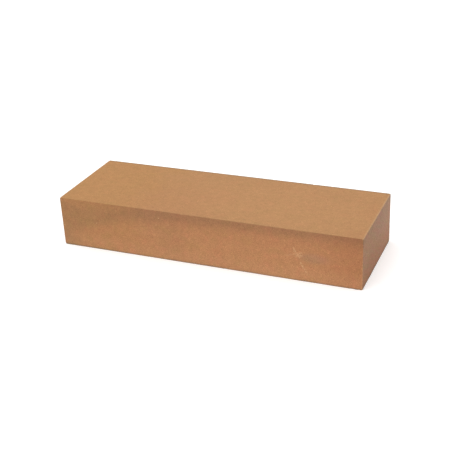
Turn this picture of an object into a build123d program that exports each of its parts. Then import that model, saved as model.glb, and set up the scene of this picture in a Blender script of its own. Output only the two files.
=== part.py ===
from build123d import *
import os

# Bench oilstone: one solid block of fired abrasive grain, made for sharpening edge tools with oil.
# Millimetres. The origin is the middle of the underside, +X runs along the stone and +Z is up.

INCH = 25.4

# Driving dimensions: the trade size of the stone, 6 x 2 x 1 inch
length = 6 * INCH
width = 2 * INCH
thickness = 1 * INCH

# Radii of the eased edges, so that they neither cut the hand nor flake in use
arris_radius = 0.3
corner_radius = 0.4


def abrasive_block():
    """The whole stone: a rectangular block, square on all six faces, with every edge lightly eased.

    The four upright corners are rounded first and a little more, and the top and bottom arrises
    follow them round in one unbroken edge.
    """
    blank = Box(length, width, thickness, align=(Align.CENTER, Align.CENTER, Align.MIN))
    upright_corners = blank.edges().filter_by(Axis.Z)
    blank = fillet(upright_corners, corner_radius)
    faces_up_and_down = blank.faces().filter_by(Axis.Z)
    arrises = [edge for face in faces_up_and_down for edge in face.edges()]
    return fillet(arrises, arris_radius)


parts = {"abrasive_block": abrasive_block()}

os.makedirs("parts", exist_ok=True)
for node, solid in parts.items():
    export_step(solid, f"parts/{node}.step")
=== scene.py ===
import math
from collections import namedtuple

import bpy
import numpy as np
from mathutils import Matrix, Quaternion, Vector


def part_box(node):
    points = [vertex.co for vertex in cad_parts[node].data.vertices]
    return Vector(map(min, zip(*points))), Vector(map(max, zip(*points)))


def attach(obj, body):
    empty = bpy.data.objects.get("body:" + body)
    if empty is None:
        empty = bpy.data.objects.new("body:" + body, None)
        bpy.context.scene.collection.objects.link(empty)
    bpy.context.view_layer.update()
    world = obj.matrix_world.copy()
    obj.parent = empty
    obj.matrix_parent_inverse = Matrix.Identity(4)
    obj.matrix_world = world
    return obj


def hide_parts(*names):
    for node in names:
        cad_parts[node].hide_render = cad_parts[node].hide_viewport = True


# A bench oilstone in its studio. The stone's box comes from the frame. The surface work is in
# millimetres on the stone's own axes, and is turned into metres when the mesh is made.
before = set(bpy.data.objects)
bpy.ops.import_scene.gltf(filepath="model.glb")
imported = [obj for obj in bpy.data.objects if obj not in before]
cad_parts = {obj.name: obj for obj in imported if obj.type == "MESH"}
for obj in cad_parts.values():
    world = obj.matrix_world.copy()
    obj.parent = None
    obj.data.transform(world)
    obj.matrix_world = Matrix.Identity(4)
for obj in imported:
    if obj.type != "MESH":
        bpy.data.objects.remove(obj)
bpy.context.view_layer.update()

MM = 0.001
NODE = "abrasive_block"
low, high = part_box(NODE)
LOW = np.array(low) / MM
HIGH = np.array(high) / MM
LENGTH, WIDTH, THICKNESS = HIGH - LOW
LEFT, FRONT, BOTTOM = LOW
RIGHT, REAR, TOP = HIGH

SEED = 20


# ---------------------------------------------------------------- ramps and noise for the mesh work

# A smooth change from low, at start and before it, to high, at end and after it
Ramp = namedtuple("Ramp", "start end low high", defaults=(0.0, 1.0))

# Smooth noise: how big its widest lumps are, how many finer layers it has, and its seed
Noise = namedtuple("Noise", "cell layers seed")


def smoothstep(edge0, edge1, value):
    """0 up to edge0, 1 from edge1 on, and a smooth rise between them."""
    share = np.clip((value - edge0) / (edge1 - edge0), 0, 1)
    return share * share * (3 - 2 * share)


def between(first, last, share):
    """first where share is 0, last where it is 1."""
    return first + (last - first) * share


def follow(value, ramp):
    """What the ramp gives for each value."""
    return between(ramp.low, ramp.high, smoothstep(ramp.start, ramp.end, value))


def bell(value, centre, half_width):
    """1 at the centre, falling smoothly to about a third one half width away."""
    return np.exp(-(((value - centre) / half_width) ** 2))


def lattice_noise(points, cell, seed):
    """Smooth noise from -1 to 1 at each point, with one random value for each cell corner."""
    spot = (points - LOW) / cell + 1
    base = np.floor(spot).astype(int)
    blend = smoothstep(0, 1, spot - base)
    lattice = np.random.default_rng(seed).uniform(-1, 1, base.max(0) + 3)
    total = np.zeros(len(points))
    for corner in np.ndindex(2, 2, 2):
        weight = np.where(corner, blend, 1 - blend).prod(1)
        total += weight * lattice[tuple((base + corner).T)]
    return total


def layered_noise(points, noise):
    """Noise from -1 to 1, with each further layer at half the cell and half the strength."""
    cell, layers, seed = noise
    total = sum(lattice_noise(points, cell / 2**n, seed + n) / 2**n for n in range(layers))
    return total / (2 - 2 / 2**layers)


# ---------------------------------------------------------------- places on the stone

# A point this near a face's plane is on that face
SKIN = 0.3


class Place:
    """Where each point is: how far along from the left end, down from the top and back from the
    front, how far from the nearer end and side, and which of the six faces it is on."""

    def __init__(self, points):
        self.along = points[:, 0] - LEFT
        self.down = TOP - points[:, 2]
        self.back = points[:, 1] - FRONT
        self.from_end = np.minimum(self.along, LENGTH - self.along)
        self.from_side = np.minimum(self.back, WIDTH - self.back)
        self.left = self.along < SKIN
        self.right = self.along > LENGTH - SKIN
        self.top = self.down < SKIN
        self.base = self.down > THICKNESS - SKIN
        self.front = self.back < SKIN
        self.rear = self.back > WIDTH - SKIN


# A soft mark on a face: the middle of it as (across, down), its half sizes, and how strong it is.
# Across is along from the left end, or back from the front on the stone's ends. On the top, down is
# back from the front.
Mark = namedtuple("Mark", "across down half_width half_height strength", defaults=(1.0,))


def patches(across, down, marks):
    """The marks together: each is flat in its middle and soft at its rim."""
    total = np.zeros(len(across))
    for mark in marks:
        reach = ((across - mark.across) / mark.half_width) ** 2
        reach += ((down - mark.down) / mark.half_height) ** 2
        total = np.maximum(total, mark.strength * np.exp(-(reach**2)))
    return total


# ---------------------------------------------------------------- scratches and specks

# Scratches on the front face: how strong each is, and its route as (along, down) points
Scratch = namedtuple("Scratch", "strength route")
SCRATCHES = (
    Scratch(0.88, ((120.5, 8.9), (121.2, 10.4), (122.0, 11.9), (123.3, 13.3))),
    Scratch(0.74, ((123.8, 16.1), (124.9, 18.0), (126.3, 20.4))),
    Scratch(0.26, ((126.3, 20.4), (127.4, 21.5))),
    Scratch(0.40, ((117.4, 13.2), (119.2, 12.6), (120.9, 12.0))),
    Scratch(0.62, ((120.9, 12.0), (122.6, 11.5), (124.1, 10.9))),
    Scratch(0.62, ((121.5, 13.0), (123.0, 12.8), (124.5, 12.4))),
    Scratch(0.50, ((120.7, 10.8), (122.0, 11.4), (123.2, 12.2))),
)
SCRATCH_DEPTH = 0.1
SCRATCH_SIDES = Ramp(0.1, 0.66, 1, 0)
SCRATCH_NOISE = Noise(0.7, 1, SEED + 30)
RAGGED_MIDDLE = 0.75
RAGGED_SWING = 0.45

# Pale coarse grains on the front face, standing in shallow pits of their own
Speck = namedtuple("Speck", "along down strength")
SPECKS = (
    Speck(53.7, 3.7, 0.75),
    Speck(58.6, 6.4, 0.5),
    Speck(52.1, 7.5, 0.5),
    Speck(66.0, 9.2, 0.5),
    Speck(80.0, 1.5, 0.5),
    Speck(19.4, 11.2, 0.7),
    Speck(1.0, 14.7, 0.8),
)
SPECK_SIZE = 0.45
SPECK_SIDES = Ramp(0.3, 1, 1, 0)


def segment_distance(spot, start, end):
    """Distance from each 2-D spot to the straight line from start to end."""
    start, end = np.array(start), np.array(end)
    run = end - start
    share = np.clip((spot - start) @ run / (run @ run), 0, 1)
    return np.linalg.norm(spot - start - share[:, None] * run, axis=1)


def scratch_mask(points, place):
    """How deep each point of the front face lies in a scratch or a speck, as a share."""
    spot = np.column_stack((place.along, place.down))
    mask = np.zeros(len(points))
    ragged = RAGGED_MIDDLE + RAGGED_SWING * layered_noise(points, SCRATCH_NOISE)
    for scratch in SCRATCHES:
        for start, end in zip(scratch.route, scratch.route[1:]):
            line = follow(segment_distance(spot, start, end), SCRATCH_SIDES)
            mask = np.maximum(mask, scratch.strength * ragged * line)
    for speck in SPECKS:
        away = np.hypot(place.along - speck.along, place.down - speck.down) / SPECK_SIZE
        mask = np.maximum(mask, speck.strength * follow(away, SPECK_SIDES))
    return mask * place.front


# ---------------------------------------------------------------- chips

# A small chip: its middle on an arris, its size, the axis that its arris runs along, and 1 if its
# pale grain still looks fresh
Chip = namedtuple("Chip", "middle size axis fresh")
CHIP_SEED = SEED + 40
CHIP_NOISE = Noise(0.6, 1, SEED + 41)
CHIPS_PER_LONG_ARRIS = 6
FEWEST_CHIPS = 2
CHIP_SMALL = 0.2
CHIP_BIG = 0.55
CHIP_STRETCH = 1.7
CHIP_DEPTH = 0.25
CHIP_RIM = Ramp(0.45, 1, 1, 0)
CHIP_RAGGED = 0.35
CHIP_ROUGHNESS = 0.3
FRESH_CHIPS = 0.3


def chips():
    """Chips at random places along all twelve arrises, most of them small."""
    dice = np.random.default_rng(CHIP_SEED)
    for axis in range(3):
        one, other = [n for n in range(3) if n != axis]
        share = (HIGH - LOW)[axis] / LENGTH
        count = max(FEWEST_CHIPS, round(CHIPS_PER_LONG_ARRIS * share))
        for first in (LOW, HIGH):
            for second in (LOW, HIGH):
                for _ in range(count):
                    middle = np.zeros(3)
                    middle[one] = first[one]
                    middle[other] = second[other]
                    middle[axis] = dice.uniform(LOW[axis], HIGH[axis])
                    size = dice.triangular(CHIP_SMALL, CHIP_SMALL, CHIP_BIG)
                    yield Chip(middle, size, axis, float(dice.random() < FRESH_CHIPS))


def chip_mask(points):
    """1 inside each fresh chip, falling steeply to 0 at its rim, and the depth of all the chips."""
    mask = np.zeros(len(points))
    depth = np.zeros(len(points))
    ragged = 1 + CHIP_RAGGED * layered_noise(points, CHIP_NOISE)
    for chip in chips():
        stretch = np.ones(3)
        stretch[chip.axis] = CHIP_STRETCH
        away = np.linalg.norm((points - chip.middle) / stretch, axis=1) / (chip.size * ragged)
        inside = follow(away, CHIP_RIM)
        mask = np.maximum(mask, inside * chip.fresh)
        depth = np.maximum(depth, inside * chip.size * CHIP_DEPTH)
    return mask, depth


# ---------------------------------------------------------------- the block's grid

COARSE_STEP = 0.95
ARRIS_STEP = 0.1
DETAIL_STEP = 0.22
STEP_GROWTH = 0.3
GRID_SAMPLES = 6000


def grid_lines(start, end, fine_spans):
    """Lines from start to end: close together at both ends and over the fine spans, wider between."""
    spot = np.linspace(start, end, GRID_SAMPLES)
    step = ARRIS_STEP + STEP_GROWTH * np.minimum(spot - start, end - spot)
    for first, last in fine_spans:
        outside = np.maximum(np.maximum(first - spot, spot - last), 0)
        step = np.minimum(step, DETAIL_STEP + STEP_GROWTH * outside)
    density = 1 / np.minimum(step, COARSE_STEP)
    widths = np.diff(spot) * (density[1:] + density[:-1]) / 2
    passed = np.concatenate(([0], np.cumsum(widths)))
    count = round(passed[-1])
    return np.interp(np.linspace(0, passed[-1], count + 1), passed, spot)


def detail_spans():
    """The stretches along and up the front that hold the scratches and the specks."""
    routes = np.array([point for scratch in SCRATCHES for point in scratch.route])
    boxes = [(routes.min(0), routes.max(0))]
    grains = np.array([(speck.along, speck.down) for speck in SPECKS])
    boxes += [(grain - SPECK_SIZE, grain + SPECK_SIZE) for grain in grains]
    along = [(LEFT + first[0], LEFT + last[0]) for first, last in boxes]
    up = [(TOP - last[1], TOP - first[1]) for first, last in boxes]
    return along, up


def block_grid():
    """Points on the sharp block's surface, and its quads, all facing outwards."""
    along_spans, up_spans = detail_spans()
    xs = grid_lines(LEFT, RIGHT, along_spans)
    ys = grid_lines(FRONT, REAR, [])
    zs = grid_lines(BOTTOM, TOP, up_spans)
    count = (len(xs), len(ys), len(zs))
    skin = np.ones(count, bool)
    skin[1:-1, 1:-1, 1:-1] = False
    number = np.full(count, -1)
    number[skin] = np.arange(skin.sum())
    i, j, k = np.nonzero(skin)
    points = np.column_stack((xs[i], ys[j], zs[k]))
    sides = (
        (number[:, :, -1], False),
        (number[:, :, 0], True),
        (number[-1, :, :], False),
        (number[0, :, :], True),
        (number[:, -1, :], True),
        (number[:, 0, :], False),
    )
    quads = []
    for side, turned in sides:
        loop = [side[:-1, :-1], side[1:, :-1], side[1:, 1:], side[:-1, 1:]]
        if turned:
            loop.reverse()
        quads.append(np.stack(loop, -1).reshape(-1, 4))
    return points, np.concatenate(quads)


EASED_RADIUS = 0.3
EASED_SPREAD = 0.07
EASED_NOISE = Noise(9.0, 3, SEED)
CORNER_EXTRA = 0.2
CORNER_REACH = 1.2


def corner_distance(points):
    """Distance from each point to the nearest of the block's eight corners."""
    nearest = np.where(points < (LOW + HIGH) / 2, LOW, HIGH)
    return np.linalg.norm(points - nearest, axis=1)


def eased(points):
    """The points with the block's edges rounded over, a little more here and less there and most at
    the corners, and the direction that each point faces."""
    wander = layered_noise(points, EASED_NOISE)
    knocked = CORNER_EXTRA * bell(corner_distance(points), 0, CORNER_REACH)
    radius = (EASED_RADIUS + EASED_SPREAD * wander + knocked)[:, None]
    inner = np.clip(points, LOW + radius, HIGH - radius)
    facing = points - inner
    facing /= np.linalg.norm(facing, axis=1)[:, None]
    return inner + radius * facing, facing


# ---------------------------------------------------------------- oil

# The oil on the front is a band that runs under the top edge and droops towards the left end. Its
# climb is 0 at that end and 1 where it has levelled out.
BAND_CLIMB = Ramp(0, 70.0)
BAND_DROOP = 9.6
BAND_LEVEL = 2.2
BAND_WIDE = 5.5
BAND_NARROW = 3.0
BAND_FADE = 0.32
BAND_WANDER = 1.0
END_SOAK = 0.72
END_SOAK_REACH = 7.5
END_SOAK_DOWN = Ramp(-2, 6)
SOFT_SOAK = 0.28
SOFT_SOAK_REACH = 57.0
OIL_NOISE = Noise(11.0, 4, SEED + 50)

FRONT_OIL = (Mark(60, 15, 7, 11, 0.25),)
REAR_OIL = (Mark(96, 24, 44, 9, 0.9), Mark(17, 9, 11, 7, 0.5))
LEFT_OIL = (Mark(6, 3, 22, 9, 0.7), Mark(40, 24, 14, 7, 0.5))
BASE_OIL = Ramp(0.0, 0.5, 0.0, 0.7)
BASE_OIL_NOISE = Noise(26.0, 4, SEED + 60)

# How far the stains on the faces that the photo doesn't show stray from their marks
HIDDEN_WANDER = 3


def front_oil(place, wander):
    """The drooping band, a fainter run below it, and the soaked left end of the front."""
    climb = follow(place.along, BAND_CLIMB)
    middle = between(BAND_DROOP, BAND_LEVEL, climb) + BAND_WANDER * wander
    half_width = between(BAND_WIDE, BAND_NARROW, climb) + BAND_WANDER * wander
    oil = bell(place.down, middle, half_width) * between(1, BAND_FADE, climb)
    oil = np.maximum(oil, patches(place.along, place.down, FRONT_OIL))
    oil += END_SOAK * bell(place.along, 0, END_SOAK_REACH) * follow(place.down, END_SOAK_DOWN)
    return oil + SOFT_SOAK * bell(place.along, 0, SOFT_SOAK_REACH)


def oil_mask(points, place):
    """How much old oil has soaked in."""
    wander = layered_noise(points, OIL_NOISE)
    shifted = place.down + HIDDEN_WANDER * wander
    front = front_oil(place, wander)
    rear = patches(place.along, shifted, REAR_OIL)
    left = patches(place.back, shifted, LEFT_OIL)
    base = follow(layered_noise(points, BASE_OIL_NOISE), BASE_OIL)
    total = front * place.front + rear * place.rear + left * place.left + base * place.base
    return np.clip(total, 0, 1)


# ---------------------------------------------------------------- dirt, a darker foot and grey lines

TOP_EDGE_REACH = 4.0
TOP_EDGE_BULGE = 2.4
BULGE_PLACE = 48.0
BULGE_REACH = 26.0
GRIME_ALONG = Ramp(0, 60.0, 0.3, 1)
GRIME_WANDER = 0.8
GRIME_NOISE = Noise(6.0, 3, SEED + 70)
END_TOP_GRIME = 0.25
# The ends darken along their foot
END_FOOT_DARKENING = 0.35
END_BASE_REACH = 3.5

LINE_NOISE = Noise(6.0, 3, SEED + 75)
LINE_STRENGTH = 0.9
LINE_WANDER = 0.4
BASE_LINE = Ramp(0.3, 1.2, 1, 0)
REAR_LINE = Ramp(0.4, 1.5, 1, 0)
# A mark along a top arris reaches this many times less far down the side than across the top
SIDE_SQUASH = 2


def grime_and_dark_foot_mask(points, place):
    """Dirt from handling, mostly under the top edges, and the ends darker along their foot."""
    wander = layered_noise(points, GRIME_NOISE)
    reach = TOP_EDGE_REACH + TOP_EDGE_BULGE * bell(place.along, BULGE_PLACE, BULGE_REACH)
    sides = bell(place.down, 0, reach + GRIME_WANDER * wander)
    sides *= follow(place.along, GRIME_ALONG)
    ends = END_TOP_GRIME * bell(place.down, 0, TOP_EDGE_REACH)
    ends += END_FOOT_DARKENING * bell(place.down, THICKNESS, END_BASE_REACH)
    total = sides * (place.front | place.rear) + ends * (place.left | place.right)
    return np.clip(total, 0, 1)


def line_mask(points, place):
    """A thin grey line on the arrises that the stone is set down on and at the rear of its
    top."""
    wander = layered_noise(points, LINE_NOISE)
    from_foot = np.hypot(THICKNESS - place.down, np.minimum(place.from_side, place.from_end))
    from_rear = np.hypot(SIDE_SQUASH * place.down, WIDTH - place.back)
    line = np.maximum(follow(from_foot, BASE_LINE), follow(from_rear, REAR_LINE))
    return np.clip(line * (LINE_STRENGTH + LINE_WANDER * wander), 0, 1)


# ---------------------------------------------------------------- marks of the kiln and of use

SCORCH_NOISE = Noise(9.0, 3, SEED + 80)
SCORCH_REACH = 16.0
SCORCH_WANDER = 2
SCORCH_DOWN = Ramp(14, THICKNESS, 1, 0.6)
REAR_SCORCH = 0.8
REAR_SCORCH_REACH = 0.7 * SCORCH_REACH
LEFT_SCORCH = 0.7
RIGHT_SCORCH_WANDER = 1.5
FRONT_SCORCH_MARKS = (Mark(98, 6, 60, 5.5, 0.3),)
RIGHT_SCORCH_MARKS = (Mark(0, 13, 5, 16, 0.12), Mark(20, 20, 40, 7, 0.3))


def scorch_mask(points, place):
    """Redder, browner skin from the kiln: at the right of the front, low on the right end, and on the
    left end as a fainter mirror image of that."""
    wander = layered_noise(points, SCORCH_NOISE)
    front = bell(LENGTH - place.along, 0, SCORCH_REACH + SCORCH_WANDER * wander)
    front *= follow(place.down, SCORCH_DOWN)
    front += patches(place.along, place.down + wander, FRONT_SCORCH_MARKS)
    rear = REAR_SCORCH * bell(place.along, 0, REAR_SCORCH_REACH + HIDDEN_WANDER * wander)
    right_down = place.down + RIGHT_SCORCH_WANDER * wander
    right = patches(place.back, right_down, RIGHT_SCORCH_MARKS)
    left_down = place.down + HIDDEN_WANDER * wander
    left = LEFT_SCORCH * patches(WIDTH - place.back, left_down, RIGHT_SCORCH_MARKS)
    total = front * place.front + rear * place.rear + right * place.right + left * place.left
    return np.clip(total, 0, 1)


FRONT_SMUDGES = (Mark(130, 13.1, 7.0, 2.5, 1.0),)
RIGHT_SMUDGES = (Mark(36, 4, 16, 8, 0.4),)


def smudge_mask(place):
    """Grey marks: a finger mark on the front, and a bloom at the rear of the right end."""
    front = patches(place.along, place.down, FRONT_SMUDGES) * place.front
    return front + patches(place.back, place.down, RIGHT_SMUDGES) * place.right


# Pinkish patches on the top, and where it has been used most, which is a little paler
BLUSH_NOISE = Noise(12.0, 3, SEED + 90)
BLUSH = (
    Mark(56, 4, 24, 26, 1.0),
    Mark(70, 20, 16, 12, 0.7),
    Mark(147, 30, 5, 9, 0.5),
    Mark(152, 1, 13, 7, 1.0),
)
WORKED_NOISE = Noise(12.0, 3, SEED + 95)
WORKED = (Mark(106, 21, 44, 19, 1.0),)
TOP_WANDER_ALONG = 8
TOP_WANDER_BACK = 6


def top_mask(points, place, noise, marks):
    """Marks on the top, with the noise bending their outlines."""
    wander = layered_noise(points, noise)
    along = place.along + TOP_WANDER_ALONG * wander
    back = place.back + TOP_WANDER_BACK * wander
    return patches(along, back, marks) * place.top


RUBBED_NOISE = Noise(3.0, 3, SEED + 100)
RUBBED_WANDER = 0.8
TOP_RUBBED = Ramp(0.35, 0.95, 1, 0)
UPRIGHT_RUBBED = Ramp(0.2, 0.6, 0.45, 0)
UPRIGHT_DOWN = Ramp(6, 15, 0.3, 1)


def rubbed_mask(points, place):
    """1 on the arrises round the stone's ends, which are rubbed pale, mostly along the top."""
    wander = layered_noise(points, RUBBED_NOISE)
    top = follow(np.hypot(place.from_end, SIDE_SQUASH * place.down), TOP_RUBBED)
    upright = follow(np.hypot(place.from_end, place.from_side), UPRIGHT_RUBBED)
    upright *= follow(place.down, UPRIGHT_DOWN)
    return np.clip(np.maximum(top, upright) * (1 + RUBBED_WANDER * wander), 0, 1)


# ---------------------------------------------------------------- the stone's mesh

RELIEF = 0.02
RELIEF_NOISE = Noise(1.6, 2, SEED + 10)


def stone_mesh():
    """The block with its edges eased and its wear and grain sunk in, and a mask for each stain."""
    points, quads = block_grid()
    points, facing = eased(points)
    place = Place(points)
    scratch = scratch_mask(points, place)
    chip, chip_depth = chip_mask(points)
    masks = {
        "worn": np.clip(scratch + chip, 0, 1),
        "oil": oil_mask(points, place),
        "grime_and_dark_foot": grime_and_dark_foot_mask(points, place),
        "line": line_mask(points, place),
        "scorch": scorch_mask(points, place),
        "smudge": smudge_mask(place),
        "blush": top_mask(points, place, BLUSH_NOISE, BLUSH),
        "worked": top_mask(points, place, WORKED_NOISE, WORKED),
        "rubbed": rubbed_mask(points, place),
    }
    grain = 1 + layered_noise(points, RELIEF_NOISE)
    depth = RELIEF * grain + SCRATCH_DEPTH * scratch + chip_depth * (1 + CHIP_ROUGHNESS * grain)
    points = points - facing * depth[:, None]

    mesh = bpy.data.meshes.new(NODE)
    mesh.from_pydata((points * MM).tolist(), [], quads.tolist())
    mesh.shade_smooth()
    for name, values in masks.items():
        attribute = mesh.attributes.new(name, "FLOAT", "POINT")
        attribute.data.foreach_set("value", values.astype(np.float32))
    return mesh


# ---------------------------------------------------------------- shader building

# Shader noise: how big its largest lumps are, and how much finer detail it has and how strong
Pattern = namedtuple("Pattern", "size detail roughness", defaults=(2.0, 0.5))


class Shader:
    """A material's node tree, with short calls for the nodes that this stone needs. Lengths are in
    millimetres on the stone."""

    def __init__(self, name):
        self.material = bpy.data.materials.new(name)
        self.material.use_nodes = True
        self.nodes = self.material.node_tree.nodes
        self.links = self.material.node_tree.links
        self.surface = self.nodes["Principled BSDF"]

    def node(self, kind, inputs=None, **settings):
        made = self.nodes.new(kind)
        for name, value in settings.items():
            setattr(made, name, value)
        for name, value in (inputs or {}).items():
            self.feed(made.inputs[name], value)
        return made

    def feed(self, socket, value):
        if isinstance(value, bpy.types.NodeSocket):
            self.links.new(value, socket)
        else:
            socket.default_value = value

    def math(self, operation, *values):
        made = self.node("ShaderNodeMath", dict(enumerate(values)), operation=operation)
        return made.outputs[0]

    def vector(self, operation, inputs):
        return self.node("ShaderNodeVectorMath", inputs, operation=operation).outputs[0]

    def split(self, vector):
        """The vector's X, Y and Z."""
        parts = self.node("ShaderNodeSeparateXYZ", {0: vector}).outputs
        return parts["X"], parts["Y"], parts["Z"]

    def place(self):
        """The point on the stone, in millimetres."""
        spot = self.node("ShaderNodeTexCoord").outputs["Object"]
        return self.vector("SCALE", {0: spot, "Scale": 1 / MM})

    def mask(self, name):
        return self.node("ShaderNodeAttribute", attribute_name=name).outputs["Fac"]

    def noise(self, place, pattern):
        """Noise around 0.5."""
        size, detail, roughness = pattern
        inputs = {"Vector": place, "Scale": 1 / size, "Detail": detail, "Roughness": roughness}
        return self.node("ShaderNodeTexNoise", inputs).outputs["Fac"]

    def cells(self, place, size):
        """The outputs of random cells about size across."""
        return self.node("ShaderNodeTexVoronoi", {"Vector": place, "Scale": 1 / size}).outputs

    def cell_distance(self, place, size):
        """How far each point is from the middle of its cell, as a share of size."""
        return self.cells(place, size)["Distance"]

    def cell_number(self, place, size, channel):
        """A random number from 0 to 1 for each cell, another one for each channel."""
        colour = self.cells(place, size)["Color"]
        return self.node("ShaderNodeSeparateColor", {0: colour}).outputs[channel]

    def rise(self, value, ramp):
        """What the ramp gives for the value."""
        start, end, first, last = ramp
        inputs = {"Value": value, "From Min": start, "From Max": end, "To Min": first, "To Max": last}
        made = self.node("ShaderNodeMapRange", inputs, interpolation_type="SMOOTHSTEP")
        return made.outputs["Result"]

    def blend(self, share, first, second, kind="MIX"):
        """first where share is 0, and second, or its product with first, where share is 1."""
        inputs = {0: share, 6: first, 7: second}
        return self.node("ShaderNodeMix", inputs, data_type="RGBA", blend_type=kind).outputs[2]

    def tint(self, share, colour, tint):
        """The colour multiplied by tint, by as much as share says."""
        return self.blend(share, colour, tint, "MULTIPLY")

    def shade(self, colour, tone):
        """The colour with its brightness multiplied by tone."""
        return self.vector("SCALE", {0: colour, "Scale": tone})


# ---------------------------------------------------------------- the stone's skin

GROUND_TAN = (0.431, 0.223, 0.096, 1)
FIRED_ORANGE = (0.393, 0.184, 0.081, 1)
# The ends' grey bloom and the brown under it, both darker than the sides' skin partly as painted shade
BLOOM_GREY_SHADED = (0.309, 0.172, 0.102, 1)
END_BROWN_SHADED = (0.316, 0.154, 0.082, 1)
# The tint of the painted bounce light at the foot of the long sides
BOUNCE_LIGHT_TINT = (1.066, 1.10, 1.144, 1)
OCHRE_TINT = (1.00, 0.985, 0.895, 1)
WARM_HUE = (1.035, 0.965, 1.00, 1)
COOL_HUE = (0.97, 1.025, 0.96, 1)
OLIVE_TINT = (1.00, 1.00, 0.95, 1)

# How much of the normal points at a face where that face's colour begins, and where it is full
FACE_TURN = Ramp(0.6, 0.8)
# Painted bounce light: the long sides grow paler and greyer towards their foot
BOUNCE_LIGHT_FOOT = Ramp(2.5, 9.5, 1, 0)


def skin_colour(stone, place):
    """The ground working faces, the redder fired long sides, paler at their foot as painted bounce
    light, and the greyer fired ends, darker partly as painted shade, and how much each point belongs
    to a ground face and to an end."""
    normal = stone.node("ShaderNodeNewGeometry").outputs["Normal"]
    facing_x, _, facing_z = stone.split(stone.vector("ABSOLUTE", {0: normal}))
    ground = stone.rise(facing_z, FACE_TURN)
    end = stone.rise(facing_x, FACE_TURN)
    _, _, height = stone.split(place)
    side = stone.tint(stone.rise(height, BOUNCE_LIGHT_FOOT), FIRED_ORANGE, BOUNCE_LIGHT_TINT)
    colour = stone.blend(ground, side, GROUND_TAN)
    return stone.blend(end, colour, end_colour(stone, place)), ground, end


# The streaks on the ends slant, and are drawn out by the stretch
END_SLANT = 28
END_STRETCH = (1, 0.16, 1)
END_STREAKS = Pattern(2.4, 3)
END_HUES = Pattern(1.6, 3)

# How much of the grey bloom there is: a middle amount, and what height, depth and streaks add
BLOOM = 0.85
BLOOM_HEIGHT = Ramp(0.0, 17.0, -0.70, 0.0)
BLOOM_DEPTH = Ramp(FRONT, REAR, -0.12, 0.3)
BLOOM_STREAKS = Ramp(0.25, 0.75, -0.28, 0.28)

END_OLIVE = Ramp(FRONT + 5, FRONT + 28, 1, 0)
END_WARM = Ramp(0.48, 0.64)
END_COOL = Ramp(0.52, 0.36)
END_SHADING = Ramp(FRONT + 12, REAR, 0.93, 1.07)


def end_colour(stone, place):
    """A grey bloom from the kiln, thinner low down and at the front, in soft slanting streaks, on
    colours darkened as painted shade, and lighter towards the rear as painted shading.
    """
    slant = {"Vector": place, "Angle": math.radians(END_SLANT)}
    turned = stone.node("ShaderNodeVectorRotate", slant, rotation_type="X_AXIS").outputs[0]
    drawn_out = stone.vector("MULTIPLY", {0: turned, 1: END_STRETCH})
    _, depth, height = stone.split(place)
    bloom = stone.math("ADD", stone.rise(height, BLOOM_HEIGHT), stone.rise(depth, BLOOM_DEPTH))
    bloom = stone.math("ADD", bloom, BLOOM)
    streaks = stone.rise(stone.noise(drawn_out, END_STREAKS), BLOOM_STREAKS)
    bloom = stone.node("ShaderNodeClamp", {0: stone.math("ADD", bloom, streaks)}).outputs[0]
    colour = stone.blend(bloom, END_BROWN_SHADED, BLOOM_GREY_SHADED)
    colour = stone.tint(stone.rise(depth, END_OLIVE), colour, OLIVE_TINT)
    hue = stone.noise(drawn_out, END_HUES)
    colour = stone.tint(stone.rise(hue, END_WARM), colour, WARM_HUE)
    colour = stone.tint(stone.rise(hue, END_COOL), colour, COOL_HUE)
    return stone.shade(colour, stone.rise(depth, END_SHADING))


BLOTCH = Pattern(17.0, 3)
BLOTCH_SHIFT = 60.0
OCHRE_ALONG = Ramp(LEFT + 55, LEFT + 90, 1, 0)
OCHRE_HEIGHT = Ramp(6, 18, 0.5, 1.0)
HUE_PATCH = Pattern(4.5, 4, 0.7)
HUE_WARM = Ramp(0.5, 0.7)
HUE_COOL = Ramp(0.5, 0.3)
HUE_STRENGTH = Ramp(0, 1, 1.0, 0.5)


def firing_tints(stone, place, colour, ground):
    """Broad, faint changes of hue from the kiln: ochre to one end, and small warm and cool patches."""
    along, _, height = stone.split(place)
    shifted = stone.math("MULTIPLY_ADD", stone.noise(place, BLOTCH), BLOTCH_SHIFT, along)
    ochre = stone.rise(shifted, OCHRE_ALONG)
    ochre = stone.math("MULTIPLY", ochre, stone.rise(height, OCHRE_HEIGHT))
    colour = stone.tint(ochre, colour, OCHRE_TINT)
    hue = stone.noise(place, HUE_PATCH)
    strength = stone.rise(ground, HUE_STRENGTH)
    warm = stone.math("MULTIPLY", stone.rise(hue, HUE_WARM), strength)
    cool = stone.math("MULTIPLY", stone.rise(hue, HUE_COOL), strength)
    return stone.tint(cool, stone.tint(warm, colour, WARM_HUE), COOL_HUE)


# ---------------------------------------------------------------- the stone's grain

CRYSTAL = 0.2
CRYSTAL_CONTRAST = Ramp(0, 1, 0.28, 0.14)
END_CONTRAST = 0.04
BOLD_CRYSTAL = 0.42
PALE_CRYSTALS = Ramp(0.93, 0.97, 0.0, 0.15)
DARK_CRYSTALS = Ramp(0.03, 0.07, -0.13, 0.0)
GRIT = 0.32
# Painted shade in the gaps between the grit grains and painted light on their middles, and how much of
# it the ground faces keep
GRIT_GAP_SHADE = Ramp(0.3, 0.75, 0.06, -0.12)
GRIT_SHADE_STRENGTH = Ramp(0, 1, 1.0, 0.6)


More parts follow.
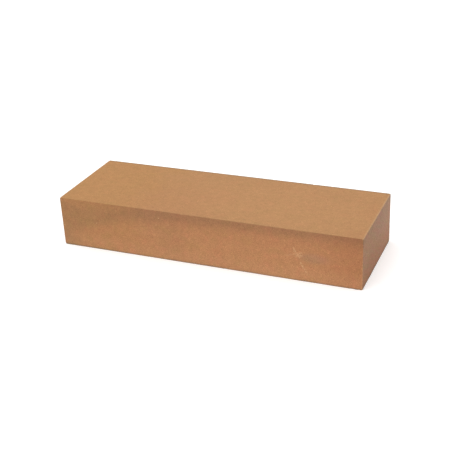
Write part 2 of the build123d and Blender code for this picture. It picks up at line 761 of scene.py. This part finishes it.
def crystal_tone(stone, place, ground, end):
    """Brightness of each crystal of the grain: bolder on the fired skins than on the ground faces,
    with a few bigger pale and dark crystals among the rest, and the gaps between the grit grains
    darkened and their middles lightened as painted shade and light, less on the ground faces."""
    contrast = stone.rise(ground, CRYSTAL_CONTRAST)
    contrast = stone.math("MULTIPLY_ADD", end, END_CONTRAST, contrast)
    pick = stone.math("SUBTRACT", stone.cell_number(place, CRYSTAL, "Red"), 0.5)
    fine = stone.math("MULTIPLY_ADD", pick, contrast, 1.0)
    bold = stone.cell_number(place, BOLD_CRYSTAL, "Green")
    bold = stone.math("ADD", stone.rise(bold, PALE_CRYSTALS), stone.rise(bold, DARK_CRYSTALS))
    tone = stone.math("ADD", fine, bold)
    gap_shade = stone.rise(stone.cell_distance(place, GRIT), GRIT_GAP_SHADE)
    return stone.math("MULTIPLY_ADD", gap_shade, stone.rise(ground, GRIT_SHADE_STRENGTH), tone)


PORE_TINT = (0.45, 0.42, 0.42, 1)
PORE_SPACING = 7.0
PORE_SIZE = 0.3
PORE_SIZES = Ramp(0.3, 1.0, 0.0, PORE_SIZE / PORE_SPACING)
SMALLEST_PORE = 0.001
PORE_RIM = Ramp(0.6, 1.0, 1, 0)


def pores(stone, place):
    """1 in the few open pores, each a fraction of a millimetre across, and 0 elsewhere."""
    size = stone.rise(stone.cell_number(place, PORE_SPACING, "Blue"), PORE_SIZES)
    size = stone.math("MAXIMUM", size, SMALLEST_PORE)
    inside = stone.math("DIVIDE", stone.cell_distance(place, PORE_SPACING), size)
    return stone.rise(inside, PORE_RIM)


# ---------------------------------------------------------------- the stone's material

MASK_TINTS = {
    "oil": (0.762, 0.80, 0.787, 1),
    "grime_and_dark_foot": (0.80, 0.80, 0.835, 1),
    "line": (0.66, 0.80, 0.96, 1),
    "scorch": (0.89, 0.80, 0.79, 1),
    "smudge": (0.905, 0.945, 1.10, 1),
    "blush": (1.00, 0.965, 0.975, 1),
    "worked": (1.03, 1.03, 1.03, 1),
}


def mask_tinted(stone, colour):
    """The colour under the stains, wear and darker marks that the mesh's masks place, each as a tint.
    """
    for name, tint in MASK_TINTS.items():
        colour = stone.tint(stone.mask(name), colour, tint)
    return colour


# Pale grain that shows where the skin is gone: the mask that places it, how strongly it shows, and
# its colour
Bare = namedtuple("Bare", "mask share colour")
BARE_GRAINS = (
    Bare("rubbed", 0.42, (0.62, 0.42, 0.24, 1)),
    Bare("worn", 0.8, (0.625, 0.385, 0.195, 1)),
)
BROKEN = Pattern(0.35, 2)
BROKEN_SHARE = Ramp(0.38, 0.6, 0.1, 1.0)


def bared(stone, place, colour):
    """The colour with the pale grain of rubbed arrises, scratches, specks and fresh chips, all of it
    broken up into crumbs."""
    broken = stone.rise(stone.noise(place, BROKEN), BROKEN_SHARE)
    for grain in BARE_GRAINS:
        share = stone.math("MULTIPLY", stone.mask(grain.mask), grain.share)
        colour = stone.blend(stone.math("MULTIPLY", share, broken), colour, grain.colour)
    return colour


BUMP = Pattern(0.22, 3, 0.6)
BUMP_STRENGTH = 0.6
BUMP_HEIGHT = 0.08
PORE_BUMP = -1.2
GRIT_BUMP = -0.8


def grain_bump(stone, place, pore):
    """The shading normal of the grain, with the pores and the gaps between the grit sunk in."""
    grit = stone.math("MULTIPLY_ADD", pore, PORE_BUMP, stone.noise(place, BUMP))
    grit = stone.math("MULTIPLY_ADD", stone.cell_distance(place, GRIT), GRIT_BUMP, grit)
    inputs = {"Strength": BUMP_STRENGTH, "Distance": BUMP_HEIGHT * MM, "Height": grit}
    return stone.node("ShaderNodeBump", inputs).outputs[0]


MOTTLE = Pattern(2.2, 3, 0.6)
MOTTLE_TONE = Ramp(0.25, 0.75, 0.95, 1.05)
SPECULAR = 0.25
# Roughness from dry stone to stone full of oil
ROUGHNESS = Ramp(0, 1, 0.88, 0.7)


def stone_material():
    stone = Shader("fired_abrasive")
    place = stone.place()
    pore = pores(stone, place)
    colour, ground, end = skin_colour(stone, place)
    colour = firing_tints(stone, place, colour, ground)
    colour = mask_tinted(stone, colour)
    mottle = stone.rise(stone.noise(place, MOTTLE), MOTTLE_TONE)
    tone = stone.math("MULTIPLY", crystal_tone(stone, place, ground, end), mottle)
    colour = stone.shade(colour, tone)
    colour = stone.tint(pore, colour, PORE_TINT)
    colour = bared(stone, place, colour)

    inputs = stone.surface.inputs
    stone.feed(inputs["Base Color"], colour)
    stone.feed(inputs["Roughness"], stone.rise(stone.mask("oil"), ROUGHNESS))
    stone.feed(inputs["Normal"], grain_bump(stone, place, pore))
    stone.feed(inputs["Specular IOR Level"], SPECULAR)
    return stone.material


def make_stone():
    stone = bpy.data.objects.new("oilstone", stone_mesh())
    bpy.context.scene.collection.objects.link(stone)
    stone.data.materials.append(stone_material())
    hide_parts(NODE)
    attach(stone, "root")


# ---------------------------------------------------------------- floor and light, in metres

WHITE = (1, 1, 1, 1)
FLOOR_HALF = 3.0
FLOOR_FINISH = {
    "Base Color": (0.93, 0.93, 0.93, 1),
    "Roughness": 0.95,
    "Specular IOR Level": 0.1,
    "Emission Color": WHITE,
    "Emission Strength": 0.24,
}
WORLD_LIGHT = {"Color": WHITE, "Strength": 1.0}
SOFTBOX_SIZE = 2.6
SOFTBOX_POWER = 9
SOFTBOX_DISTANCE = 1.5
SOFTBOX_SIDE = (-0.35, -0.5, 0.79)


def set_inputs(node, values):
    for name, value in values.items():
        node.inputs[name].default_value = value


def make_floor():
    half = FLOOR_HALF
    mesh = bpy.data.meshes.new("floor")
    corners = [(-half, -half, 0), (half, -half, 0), (half, half, 0), (-half, half, 0)]
    mesh.from_pydata(corners, [], [(0, 1, 2, 3)])
    floor = bpy.data.objects.new("floor", mesh)
    bpy.context.scene.collection.objects.link(floor)
    material = bpy.data.materials.new("pale_floor")
    material.use_nodes = True
    set_inputs(material.node_tree.nodes["Principled BSDF"], FLOOR_FINISH)
    mesh.materials.append(material)


def make_light():
    world = bpy.data.worlds.new("studio")
    bpy.context.scene.world = world
    world.use_nodes = True
    set_inputs(world.node_tree.nodes["Background"], WORLD_LIGHT)
    lamp = bpy.data.lights.new("softbox", "AREA")
    lamp.shape = "DISK"
    lamp.size = SOFTBOX_SIZE
    lamp.energy = SOFTBOX_POWER
    softbox = bpy.data.objects.new("softbox", lamp)
    bpy.context.scene.collection.objects.link(softbox)
    towards = Vector(SOFTBOX_SIDE).normalized()
    softbox.location = towards * SOFTBOX_DISTANCE
    softbox.rotation_mode = "QUATERNION"
    softbox.rotation_quaternion = (-towards).to_track_quat("-Z", "Y")


# ---------------------------------------------------------------- camera

# Where the photo was taken from, round the stone's middle: angles in degrees and lengths in metres.
# RIGHT and UP slide the camera across its own view. The lens is in millimetres.
CAMERA_AZIMUTH = 23.66
CAMERA_ELEVATION = 25.96
CAMERA_ROLL = -2.87
CAMERA_DISTANCE = 0.45166
CAMERA_RIGHT = 0.0005
CAMERA_UP = -0.00282
CAMERA_LENS = 73.92
CAMERA_CLIP = 0.01


def make_camera():
    azimuth = math.radians(CAMERA_AZIMUTH)
    elevation = math.radians(CAMERA_ELEVATION)
    back = Vector((
        math.sin(azimuth) * math.cos(elevation),
        -math.cos(azimuth) * math.cos(elevation),
        math.sin(elevation),
    ))
    roll = Quaternion((0, 0, 1), math.radians(CAMERA_ROLL))
    turn = (-back).to_track_quat("-Z", "Y") @ roll
    camera = bpy.data.objects.new("camera", bpy.data.cameras.new("camera"))
    bpy.context.scene.collection.objects.link(camera)
    camera.rotation_mode = "QUATERNION"
    camera.rotation_quaternion = turn
    middle = (low + high) / 2
    camera.location = middle + turn @ Vector((CAMERA_RIGHT, CAMERA_UP, CAMERA_DISTANCE))
    camera.data.lens = CAMERA_LENS
    camera.data.clip_start = CAMERA_CLIP
    bpy.context.scene.camera = camera


make_stone()
make_floor()
make_light()
make_camera()
bpy.context.scene.view_settings.view_transform = "Standard"
